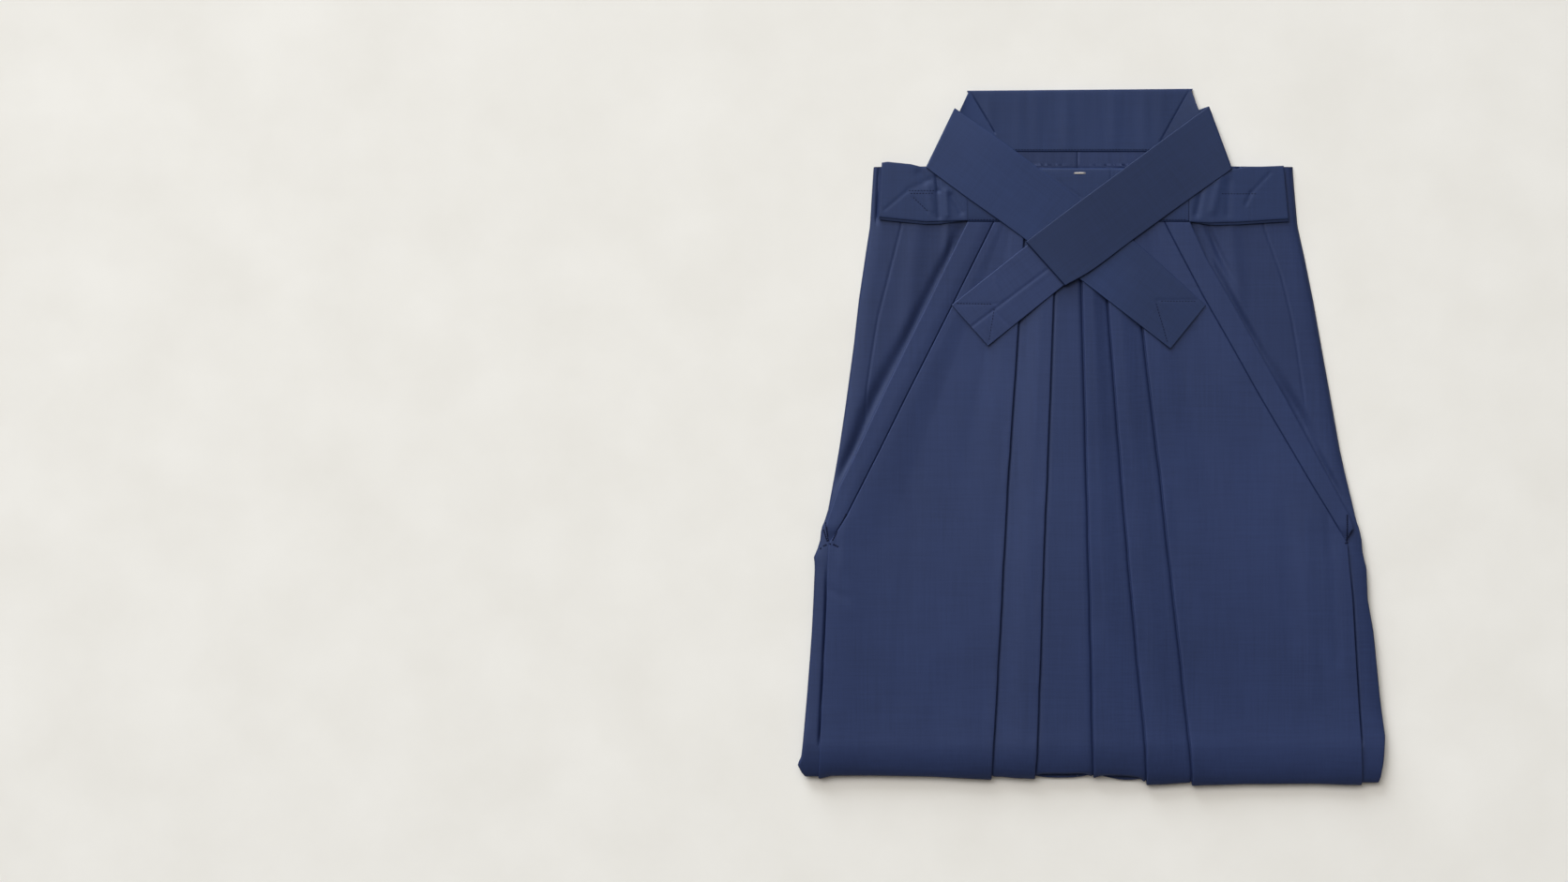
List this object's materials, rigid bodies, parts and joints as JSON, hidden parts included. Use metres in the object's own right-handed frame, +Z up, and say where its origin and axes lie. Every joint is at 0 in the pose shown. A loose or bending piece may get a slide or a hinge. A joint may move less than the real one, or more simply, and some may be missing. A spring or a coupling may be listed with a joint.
{
  "type": "folded hakama trousers",
  "caption": "Pleated hakama trousers folded flat, front up, with the lower quarter turned under and the back ties crossed over the front.",
  "frame": {"origin": "under the middle of the folded outline, on the surface it lies on", "axes": "+Y towards the waist, +Z up out of the front of the garment, +X to the right seen from above"},
  "size_m": [0.6713, 0.8024, 0.0187],
  "materials": {
    "panel_cloth": "smooth navy polyester twill, pressed, soft sheen",
    "band_cloth": "same twill, doubled and topstitched",
    "tie_cloth": "same twill, doubled and pressed flat",
    "hidden_cloth": "same twill, folded inside"
  },
  "bodies": {
    "root": {"hidden_layers": "hidden_cloth", "back_panel_left": "panel_cloth", "back_panel_right": "panel_cloth", "front_panel_left": "panel_cloth", "front_panel_right": "panel_cloth", "front_waistband": "band_cloth", "back_waistband": "band_cloth", "front_tie_left": "tie_cloth", "front_tie_right": "tie_cloth", "back_tie_left": "tie_cloth", "back_tie_right": "tie_cloth", "back_tie_right_end": "tie_cloth"}
  },
  "joints": []
}
